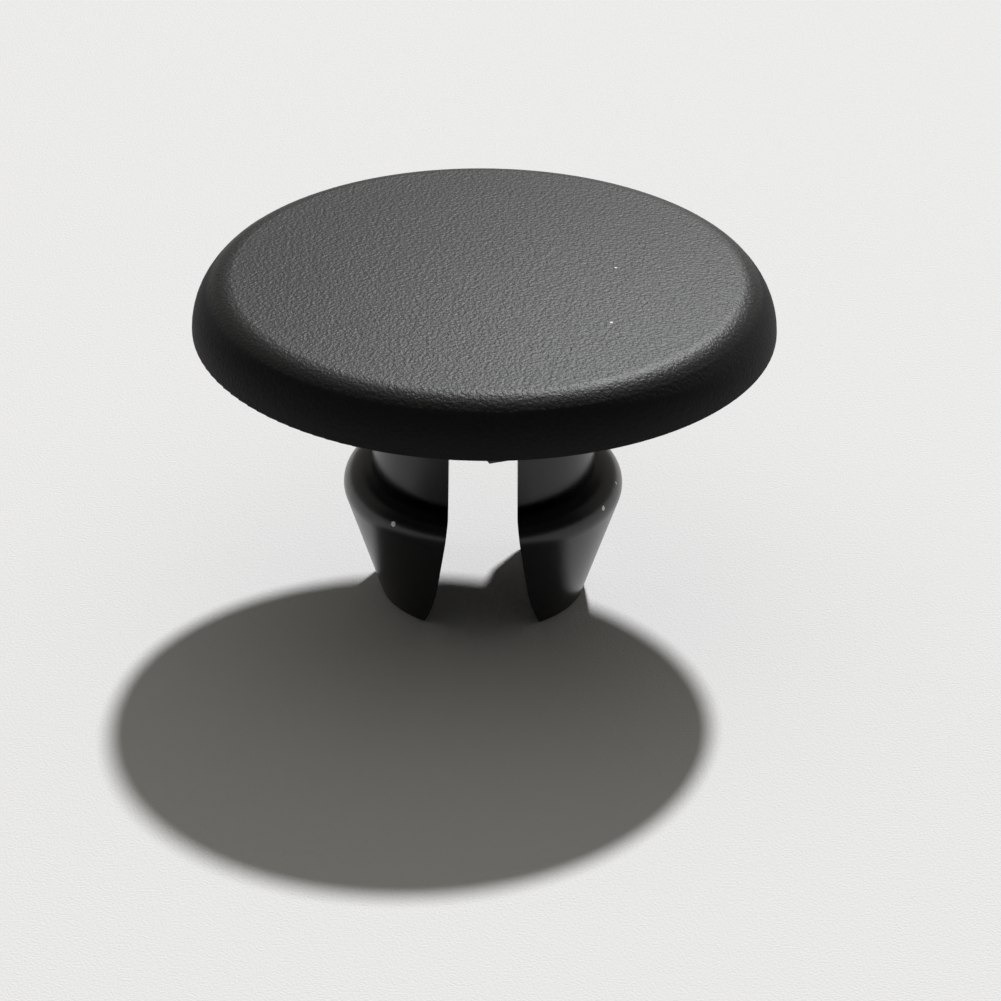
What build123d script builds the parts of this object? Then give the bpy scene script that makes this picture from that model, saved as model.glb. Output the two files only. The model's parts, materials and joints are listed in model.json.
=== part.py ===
from build123d import *
import math
import os

# A push-in hole plug, moulded in one piece of black plastic: a slightly crowned round head with a curved
# wall, and below it a round stem that a slot parts into two legs, each with a barb outside. Sizes are in mm.
# The plug stands on its leg tips: z = 0 is the tips' plane, +Z points up to the head, and the slot runs along Y.

# Head: a shallow cap, open below, that sits on the panel with its rim. Its wall rises upright from the rim,
# curves inward, and turns round a tighter corner into the crown. Slopes are in degrees from level: the wall's
# where the corner begins, the crown's where the corner ends.
head_diameter = 30.0
seat_height = 15.0
rim_height = 0.15
wall_curve_radius = 3.2
wall_slope = 48.0
corner_radius = 1.8
crown_slope = 4.0
cap_thickness = 1.5
rim_thickness = 1.6
rim_corner_radius = 0.1
recess_corner_radius = 0.3

# Stem and barb: the shoulder comes to rest behind the panel, and the cone leads the legs into its hole.
# The barb stands out from the stem by its reach, up to the shoulder's sharp corner, before its rounding.
stem_diameter = 11.6
stem_root_radius = 0.6
shoulder_height = 7.3
barb_reach = 1.95
barb_round_radius = 1.25
tip_diameter = 10.6
tip_corner_radius = 0.2

# Slot between the legs: parallel at the top, opening below the barb, with a curved mouth at the tips
slot_width = 3.54
slot_root_web = 0.6
slot_root_radius = 0.8
taper_top_height = 7.1
taper_foot_height = 2.8
taper_foot_width = 4.6
mouth_width = 6.0

# Gate mark: the small nib that the moulding's edge gate left under the rim, at the front
gate_start = 0.18
gate_tear = 0.12
gate_length = 0.97
gate_depth = 0.16
gate_root = 0.1
gate_thickness = 0.5

head_radius = head_diameter / 2
stem_radius = stem_diameter / 2
barb_radius = stem_radius + barb_reach
tip_radius = tip_diameter / 2
wall_cosine = math.cos(math.radians(wall_slope))
crown_cosine = math.cos(math.radians(crown_slope))
rim_top = seat_height + rim_height
cap_top = rim_top + wall_curve_radius * wall_cosine + corner_radius * (crown_cosine - wall_cosine)
recess_top = cap_top - cap_thickness
recess_radius = head_radius - rim_thickness
slot_top = recess_top - slot_root_web


def round_corner(section, x, z, radius):
    """The section with its corner at x, z rounded."""
    corner = section.vertices().sort_by_distance((x, z))[0]
    return fillet(corner, radius)


def turned_body():
    """Head, stem and barb, as one half section turned about Z."""
    wall = JernArc((head_radius, rim_top), (0, 1), wall_curve_radius, 90 - wall_slope)
    corner = JernArc(wall @ 1, wall % 1, corner_radius, wall_slope - crown_slope)
    crown_radius = (corner @ 1).X / math.sin(math.radians(crown_slope))
    crown = JernArc(corner @ 1, corner % 1, crown_radius, crown_slope)
    outline = Polyline(
        wall @ 0,
        (head_radius, seat_height),
        (recess_radius, seat_height),
        (recess_radius, recess_top),
        (stem_radius, recess_top),
        (stem_radius, shoulder_height),
        (barb_radius, shoulder_height),
        (tip_radius, 0),
        (0, 0),
        crown @ 1,
    )
    section = make_face([wall, corner, crown, outline])
    section = round_corner(section, head_radius, seat_height, rim_corner_radius)
    section = round_corner(section, recess_radius, seat_height, recess_corner_radius)
    section = round_corner(section, recess_radius, recess_top, recess_corner_radius)
    section = round_corner(section, stem_radius, recess_top, stem_root_radius)
    section = round_corner(section, barb_radius, shoulder_height, barb_round_radius)
    section = round_corner(section, tip_radius, 0, tip_corner_radius)
    return revolve(Plane.XZ * section, Axis.Z)


def slot():
    """The slot between the legs: its outline in the XZ plane, run through the body along Y."""
    taper = Line((slot_width / 2, taper_top_height), (taper_foot_width / 2, taper_foot_height))
    mouth = TangentArc((taper_foot_width / 2, taper_foot_height), (mouth_width / 2, 0), tangent=taper % 1)
    side = Line((slot_width / 2, slot_top), (slot_width / 2, taper_top_height))
    half = [side, taper, mouth]
    other_half = [edge.mirror(Plane.YZ) for edge in half]
    root = Line((-slot_width / 2, slot_top), (slot_width / 2, slot_top))
    foot = Line((-mouth_width / 2, 0), (mouth_width / 2, 0))
    outline = make_face(half + other_half + [root, foot])
    for side_sign in (-1, 1):
        outline = round_corner(outline, side_sign * slot_width / 2, slot_top, slot_root_radius)
    return extrude(Plane.XZ * outline, barb_radius, both=True)


def gate_mark():
    """The nib under the rim at the front: a wedge, deepest where it tore off, that thins out to the right."""
    wedge = make_face(
        Polyline(
            (gate_start, seat_height),
            (gate_start + gate_tear, seat_height - gate_depth),
            (gate_start + gate_length, seat_height),
            (gate_start + gate_length, seat_height + gate_root),
            (gate_start, seat_height + gate_root),
            close=True,
        )
    )
    front = -head_radius + rim_corner_radius
    return Pos(0, front + gate_thickness, 0) * extrude(Plane.XZ * wedge, gate_thickness)


plug = turned_body() - slot() + gate_mark()

os.makedirs("parts", exist_ok=True)
export_step(plug, "parts/hole_plug.step")
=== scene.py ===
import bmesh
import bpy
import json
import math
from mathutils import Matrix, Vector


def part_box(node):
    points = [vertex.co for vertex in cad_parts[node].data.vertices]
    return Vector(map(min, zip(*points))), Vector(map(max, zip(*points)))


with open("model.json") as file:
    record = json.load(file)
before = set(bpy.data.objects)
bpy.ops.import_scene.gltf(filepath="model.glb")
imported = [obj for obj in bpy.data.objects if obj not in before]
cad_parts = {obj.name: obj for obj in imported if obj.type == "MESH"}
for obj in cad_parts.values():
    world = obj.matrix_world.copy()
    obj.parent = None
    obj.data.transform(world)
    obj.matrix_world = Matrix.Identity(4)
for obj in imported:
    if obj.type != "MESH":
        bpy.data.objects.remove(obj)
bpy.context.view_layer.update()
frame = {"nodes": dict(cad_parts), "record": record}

# %% [markdown]
# # A push-in hole plug of black plastic
#
# A plug of this kind closes a round hole in a panel. It is moulded in one piece: a wide, almost flat head
# with a fine leather grain, and below it a round stem that a slot parts into two smooth, glossy legs with
# barbs. Here it stands on its leg tips on a pale board, lit from behind, and the camera looks down on it.
#
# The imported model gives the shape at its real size, so this lesson leaves that shape alone. It adds what a
# shape can't show: the finish of each surface, the board, the light and the camera. Places and lengths are
# in metres, as in the model, and the finishes count in millimetres, because a grain is that fine.

MM = 0.001
plug = frame["nodes"]["hole_plug"]
low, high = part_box("hole_plug")
mounts = {mount["name"]: mount for mount in frame["record"]["mounts"]}
head_radius = (high[0] - low[0]) / 2
head_top = high[2]
seat_height = mounts["seat"]["pos_m"][2]
print("head", round(2 * head_radius / MM, 2), "mm across, top at", round(head_top / MM, 2), "mm")
print("seat at", round(seat_height / MM, 2), "mm;", len(plug.data.polygons), "faces")

# %% [markdown]
# ## The camera
#
# The picture was taken from the front, about 29 degrees above the board. Near things look only a little
# larger than far things, so the camera stood some way off with a long lens. Its distance comes first, and
# the lens follows from how large the plug looks from there: guessing both by hand would never end. The
# camera aims a little below the middle of the plug, and it is rolled by just over half a degree, because it
# wasn't held quite level.

# %% The camera
VIEW_ELEVATION = math.radians(29.056)
VIEW_DISTANCE = 0.265
AIM = Vector((0.00092, 0, 0.00485))
ROLL = math.radians(0.609)
LENS = 180.61
SENSOR = 36.0
NEAREST = 0.01
FARTHEST = 20.0


def add_camera():
    """A camera in front of the plug, above the board, that looks at AIM."""
    data = bpy.data.cameras.new("camera")
    data.sensor_width = SENSOR
    data.lens = LENS
    data.clip_start = NEAREST
    data.clip_end = FARTHEST
    camera = bpy.data.objects.new("camera", data)
    bpy.context.scene.collection.objects.link(camera)
    place = VIEW_DISTANCE * Vector((0, -math.cos(VIEW_ELEVATION), math.sin(VIEW_ELEVATION)))
    turn = (AIM - place).to_track_quat("-Z", "Y").to_matrix() @ Matrix.Rotation(ROLL, 3, "Z")
    camera.matrix_world = Matrix.Translation(place) @ turn.to_4x4()
    return camera


camera = add_camera()
bpy.context.scene.camera = camera
print("camera at", [round(part / MM, 1) for part in camera.matrix_world.translation], "mm")

# %% [markdown]
# ## Writing a material as sums
#
# A material is a net of nodes. Wired one at a time, even a short sum such as `1 - mask * 0.5` takes a dozen
# lines that hide what it does. So a small class wraps a socket and gives it Python's own operators, and
# each operator adds a Math node. Every other node comes from one method, `add`, which takes the node's
# type, then its settings, then what goes into its sockets.

# %% Sockets that can be added and multiplied


class Signal:
    """An output socket of a material. Sums with it add Math nodes."""

    def __init__(self, recipe, socket):
        self.recipe = recipe
        self.socket = socket

    def math(self, operation, *values):
        """The Math node with this operation on these values."""
        return self.recipe.add("ShaderNodeMath", {"operation": operation}, dict(enumerate(values)))

    def __add__(self, other):
        return self.math("ADD", self, other)

    def __sub__(self, other):
        return self.math("SUBTRACT", self, other)

    def __rsub__(self, other):
        return self.math("SUBTRACT", other, self)

    def __mul__(self, other):
        return self.math("MULTIPLY", self, other)

    def __gt__(self, other):
        return self.math("GREATER_THAN", self, other)

    def __lt__(self, other):
        return self.math("LESS_THAN", self, other)

    def either(self, other):
        """The larger of two signals: for masks, where one or the other holds."""
        return self.math("MAXIMUM", self, other)

    __radd__ = __add__
    __rmul__ = __mul__


class Recipe:
    """The nodes of a material or of the room's light, which grow one by one."""

    def __init__(self, owner):
        owner.use_nodes = True
        self.owner = owner
        self.tree = owner.node_tree
        self.tree.nodes.clear()

    def add(self, kind, settings, sockets, output=0):
        """A node of this kind. Its settings go in first, then the values or signals of its sockets."""
        node = self.tree.nodes.new(kind)
        for name, value in settings.items():
            setattr(node, name, value)
        for name, value in sockets.items():
            if isinstance(value, Signal):
                self.tree.links.new(value.socket, node.inputs[name])
            else:
                node.inputs[name].default_value = value
        return Signal(self, node.outputs[output])

    def place(self):
        """Where a point lies on the object, in millimetres from its origin."""
        point = self.add("ShaderNodeTexCoord", {}, {}, output="Object")
        return self.add("ShaderNodeMapping", {}, {"Vector": point, "Scale": (1 / MM, 1 / MM, 1 / MM)})

    def noise(self, place, scale, detail=2.0, roughness=0.5, distortion=0.0):
        """Smooth noise, from 0 to 1, with this many waves to a millimetre."""
        sockets = {"Vector": place, "Scale": scale, "Detail": detail}
        sockets.update({"Roughness": roughness, "Distortion": distortion})
        return self.add("ShaderNodeTexNoise", {"noise_dimensions": "3D"}, sockets)

    def mix(self, share, first, second):
        """A colour that goes from the first to the second as the share goes from 0 to 1."""
        settings = {"data_type": "RGBA"}
        return self.add("ShaderNodeMix", settings, {0: share, 6: first, 7: second}, output=2)

    def ramp(self, value, start, end):
        """A smooth step from 0 to 1, as the value goes from start to end."""
        settings = {"interpolation_type": "SMOOTHSTEP"}
        sockets = {"Value": value, "From Min": start, "From Max": end}
        return self.add("ShaderNodeMapRange", settings, sockets)

    def bump(self, height, depth):
        """A normal that follows a height of 0 to 1, as deep as this in metres."""
        return self.add("ShaderNodeBump", {}, {"Strength": 1.0, "Distance": depth, "Height": height})

    def surface(self, **inputs):
        """A Principled surface with these inputs."""
        sockets = {name.replace("_", " "): value for name, value in inputs.items()}
        return self.add("ShaderNodeBsdfPrincipled", {}, sockets)

    def finish(self, surface, output="ShaderNodeOutputMaterial"):
        """The finished material, with this surface."""
        self.tree.links.new(surface.socket, self.tree.nodes.new(output).inputs["Surface"])
        print(self.owner.name, "has", len(self.tree.nodes), "nodes")
        return self.owner


# %% [markdown]
# ## Where the head is grained
#
# The mould is etched only where it forms the head's outside, from its crown down to the edge that lies on
# the panel. The recess under the head, the stem and the legs come off polished steel. So the material needs
# a mask: 1 on the head's outside, 0 elsewhere. Height alone won't do, because the recess reaches up into the
# head. A point is outside when it is above the recess, or farther out than the recess's wall, and above the
# seat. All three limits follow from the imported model's own box and seat.

# %% The mask of the grained head
CROWN_BAND = 1.5
RIM_BAND = 1.0
SEAT_CLEARANCE = 0.02


def grained_head(recipe, place):
    """A mask that is 1 on the outside of the head."""
    split = {"Vector": place}
    x, y, z = [recipe.add("ShaderNodeSeparateXYZ", {}, split, output=axis) for axis in "XYZ"]
    squared_radius = x * x + y * y
    above_recess = z > head_top / MM - CROWN_BAND
    near_rim = squared_radius > (head_radius / MM - RIM_BAND) ** 2
    return above_recess.either(near_rim) * (z > seat_height / MM + SEAT_CLEARANCE)


print("grain from", round(seat_height / MM + SEAT_CLEARANCE, 2), "mm up to", round(head_top / MM, 2), "mm")

# %% [markdown]
# ## The leather grain
#
# Etched leather grain is a net of short worm-like ridges, a fifth to a quarter of a millimetre apart. Cells
# give the net: the distance to the nearest of many scattered points is least in the middle of each cell and
# greatest along its borders. Alone they would look like pebbles, so twisted noise is added, which runs the
# ridges into one another. Both are three-dimensional, so the grain needs no unwrapping and goes round the
# head's edge without a seam.

# %% The leather grain
CELLS_PER_MM = 5.2
WORMS_PER_MM = 5.6
WORM_DETAIL = 2.0
WORM_FINENESS = 0.55
WORM_TWIST = 0.6
WORM_SHARE = 1.2
CELL_SHARE = 0.5


def leather_grain(recipe, place):
    """The grain's height, from about 0 to 1."""
    sockets = {"Vector": place, "Scale": CELLS_PER_MM}
    cells = recipe.add("ShaderNodeTexVoronoi", {"feature": "F1"}, sockets, output="Distance")
    worms = recipe.noise(place, WORMS_PER_MM, WORM_DETAIL, WORM_FINENESS, WORM_TWIST)
    return worms * WORM_SHARE - cells * CELL_SHARE


print("grain cells", round(1 / CELLS_PER_MM, 2), "mm apart")

# %% [markdown]
# ## Pale specks
#
# The plug shows a few tiny pale specks: three on its legs and two on its head. Each is one to three tenths
# of a millimetre across, too small for a piece of its own, so the material colours them pale: a point is
# specked when it is near enough to one of five places. A little noise keeps the specks from being round.

# %% Pale specks
PALE_SPECKS = (
    (Vector((-4.58, -5.57, 6.41)), 0.15),
    (Vector((6.22, -3.65, 6.41)), 0.13),
    (Vector((6.91, -1.46, 6.73)), 0.09),
    (Vector((6.36, -5.83, 18.13)), 0.08),
    (Vector((6.68, 0.37, 18.21)), 0.06),
)
SPECK_RAGGED = 0.12
SPECK_WAVES_PER_MM = 9.0
NOISE_MIDDLE = 0.5


def speck_mask(recipe, place):
    """A mask that is 1 on the pale specks."""
    ragged = (recipe.noise(place, SPECK_WAVES_PER_MM) - NOISE_MIDDLE) * SPECK_RAGGED
    mask = 0.0
    for middle, radius in PALE_SPECKS:
        sockets = {0: place, 1: middle}
        away = recipe.add("ShaderNodeVectorMath", {"operation": "DISTANCE"}, sockets, output="Value")
        mask = (away + ragged < radius) + mask
    return mask


print(len(PALE_SPECKS), "pale specks")

# %% [markdown]
# ## The plug's plastic
#
# It is one black plastic with three finishes, so the material is three surfaces and two Mix Shaders between
# them. The stem and legs are smooth: they mirror the board and the room, a little softly. The wall of the
# head is etched and hardly mirrors at all: painted shade, a duller copy of the crown's finish. The crown is
# etched too, with a painted sheen: a paler, shinier copy that stands in for the light from behind, which
# makes the head look grey. The painted sheen fades in round the corner between wall and crown.

# %% The plug's plastic
BLACK = (0.003, 0.0033, 0.0042, 1)
# The crown's base is a little paler than the black: part of its painted sheen.
PAINTED_SHEEN_BLACK = (0.012, 0.0125, 0.012, 1)
SPECK_PALE = (0.85, 0.85, 0.82, 1)
SMOOTH_ROUGHNESS = 0.28
SMOOTH_SPECULAR = 0.45
# The wall mirrors less than the crown: painted shade. The crown mirrors more: painted sheen.
PAINTED_SHADE_ROUGHNESS = 0.7
PAINTED_SHADE_SPECULAR = 0.22
PAINTED_SHEEN_ROUGHNESS = 0.47
PAINTED_SHEEN_SPECULAR = 0.23
PAINTED_SHEEN_TINT = (0.94, 1.0, 0.965, 1)
GRAIN_DEPTH = 0.000028
SHEEN_FROM = 2.1
SHEEN_TO = 2.6


def plug_plastic():
    """The plug's material, with its three finishes, two of them painted sheen and shade, and its pale
    specks.
    """
    recipe = Recipe(bpy.data.materials.new("moulded_black_plastic"))
    place = recipe.place()
    specked = speck_mask(recipe, place)
    black = recipe.mix(specked, BLACK, SPECK_PALE)
    painted_sheen_black = recipe.mix(specked, PAINTED_SHEEN_BLACK, SPECK_PALE)
    grain = recipe.bump(leather_grain(recipe, place), GRAIN_DEPTH)
    smooth = recipe.surface(
        Base_Color=black, Roughness=SMOOTH_ROUGHNESS, Specular_IOR_Level=SMOOTH_SPECULAR
    )
    # Painted shade: the head's wall, a duller copy of the crown's finish.
    painted_shade_surface = recipe.surface(
        Base_Color=black, Roughness=PAINTED_SHADE_ROUGHNESS, Specular_IOR_Level=PAINTED_SHADE_SPECULAR, Normal=grain
    )
    # Painted sheen: the crown, a paler, shinier copy of the wall's finish.
    painted_sheen_surface = recipe.surface(
        Base_Color=painted_sheen_black,
        Roughness=PAINTED_SHEEN_ROUGHNESS,
        Specular_IOR_Level=PAINTED_SHEEN_SPECULAR,
        Specular_Tint=PAINTED_SHEEN_TINT,
        Normal=grain,
    )
    # The painted sheen fades in round the corner between wall and crown.
    height = recipe.add("ShaderNodeSeparateXYZ", {}, {"Vector": place}, output="Z") - seat_height / MM
    sheen = recipe.ramp(height, SHEEN_FROM, SHEEN_TO)
    etched = recipe.add("ShaderNodeMixShader", {}, {0: sheen, 1: painted_shade_surface, 2: painted_sheen_surface})
    grained = grained_head(recipe, place)
    return recipe.finish(recipe.add("ShaderNodeMixShader", {}, {0: grained, 1: smooth, 2: etched}))


plug.material_slots[0].material = plug_plastic()

# %% [markdown]
# ## The board
#
# The plug stands on a plain pale board. Its surface is matt, with a tooth so fine that it shows only as a
# faint speckle. It is far larger than the picture, so no edge or horizon comes into view.

# %% The board
BOARD_SIZE = 4.0
BOARD_WHITE = (0.80, 0.80, 0.805, 1)
BOARD_ROUGHNESS = 0.8
BOARD_SPECULAR = 0.1
TOOTH_PER_MM = 7.0
TOOTH_DETAIL = 3.0
TOOTH_FINENESS = 0.6
TOOTH_DEPTH = 0.00004


def board_card():
    """The board's material."""
    recipe = Recipe(bpy.data.materials.new("pale_board"))
    tooth = recipe.noise(recipe.place(), TOOTH_PER_MM, TOOTH_DETAIL, TOOTH_FINENESS)
    card = recipe.surface(
        Base_Color=BOARD_WHITE,
        Roughness=BOARD_ROUGHNESS,
        Specular_IOR_Level=BOARD_SPECULAR,
        Normal=recipe.bump(tooth, TOOTH_DEPTH),
    )
    return recipe.finish(card)


def add_sheet(name, size, material):
    """A flat square sheet under the plug's tips."""
    shape = bmesh.new()
    bmesh.ops.create_grid(shape, x_segments=1, y_segments=1, size=size / 2)
    mesh = bpy.data.meshes.new(name)
    shape.to_mesh(mesh)
    shape.free()
    sheet = bpy.data.objects.new(name, mesh)
    bpy.context.scene.collection.objects.link(sheet)
    sheet.data.materials.append(material)
    return sheet


board = add_sheet("board", BOARD_SIZE, board_card())
print("board", [round(side, 2) for side in board.dimensions], "m")

# %% [markdown]
# ## The lamp
#
# The head's shadow falls towards the camera and a little to the left, so the lamp is behind the plug, a
# little to the right. How far the shadow reaches gives the lamp's height, 45 degrees. How soft its edge is
# gives the lamp's size: seen from the plug it is 3.5 degrees wide, seven times the sun. It is one round
# area lamp, 12 metres away, so that it lights the whole board evenly.

# %% The lamp
KEY_ELEVATION = 45.21
KEY_AZIMUTH = 13.39
KEY_DISTANCE = 12.0
KEY_ANGLE = 3.5
KEY_POWER = 1690.0


def add_lamp(name, shape, size, power, elevation, azimuth, distance):
    """A lamp that looks at the plug. Azimuth 0 is straight behind the plug, and grows to the right."""
    data = bpy.data.lights.new(name, "AREA")
    data.shape = shape
    data.size = size
    data.energy = power
    lamp = bpy.data.objects.new(name, data)
    bpy.context.scene.collection.objects.link(lamp)
    up, around = math.radians(elevation), math.radians(azimuth)
    way = Vector((math.sin(around) * math.cos(up), math.cos(around) * math.cos(up), math.sin(up)))
    turn = way.to_track_quat("Z", "Y").to_matrix().to_4x4()
    lamp.matrix_world = Matrix.Translation(Vector((0, 0, seat_height)) + distance * way) @ turn
    return lamp


key_size = 2 * KEY_DISTANCE * math.tan(math.radians(KEY_ANGLE / 2))
add_lamp("key_lamp", "DISK", key_size, KEY_POWER, KEY_ELEVATION, KEY_AZIMUTH, KEY_DISTANCE)
print("key lamp", round(key_size / MM), "mm across")

# %% [markdown]
# ## The room's glow, and the picture's tones
#
# The shadow isn't black. What lights it is the room: a faint, slightly warm glow, which stands for the
# light that its walls and ceiling send back. Two more lamps could do that, but they would show as spots in
# the smooth legs. The glow isn't the same from all sides, because the legs and the head's wall are almost
# black where they face the camera. So it is bright behind the plug and overhead, and dark low down in
# front. The picture's tones are left as they are, with no film look over them.

# %% The room's glow, and the picture's tones
ROOM_COLOR = (1.0, 0.975, 0.885, 1)
ROOM_GLOW = 0.255
FRONT_GLOW = 0.03
BACK_FROM = -0.2
BACK_TO = 0.3
HIGH_FROM = 0.55
HIGH_TO = 0.85


def room_glow():
    """The room's light: bright behind the plug and overhead, dark low down in front."""
    recipe = Recipe(bpy.data.worlds.new("room"))
    way = {"Vector": recipe.add("ShaderNodeTexCoord", {}, {}, output="Generated")}
    back, high = [recipe.add("ShaderNodeSeparateXYZ", {}, way, output=axis) for axis in "YZ"]
    lit = recipe.ramp(back, BACK_FROM, BACK_TO).either(recipe.ramp(high, HIGH_FROM, HIGH_TO))
    strength = lit * (ROOM_GLOW - FRONT_GLOW) + FRONT_GLOW
    glow = recipe.add("ShaderNodeBackground", {}, {"Color": ROOM_COLOR, "Strength": strength})
    return recipe.finish(glow, output="ShaderNodeOutputWorld")


bpy.context.scene.world = room_glow()
bpy.context.scene.view_settings.view_transform = "Standard"
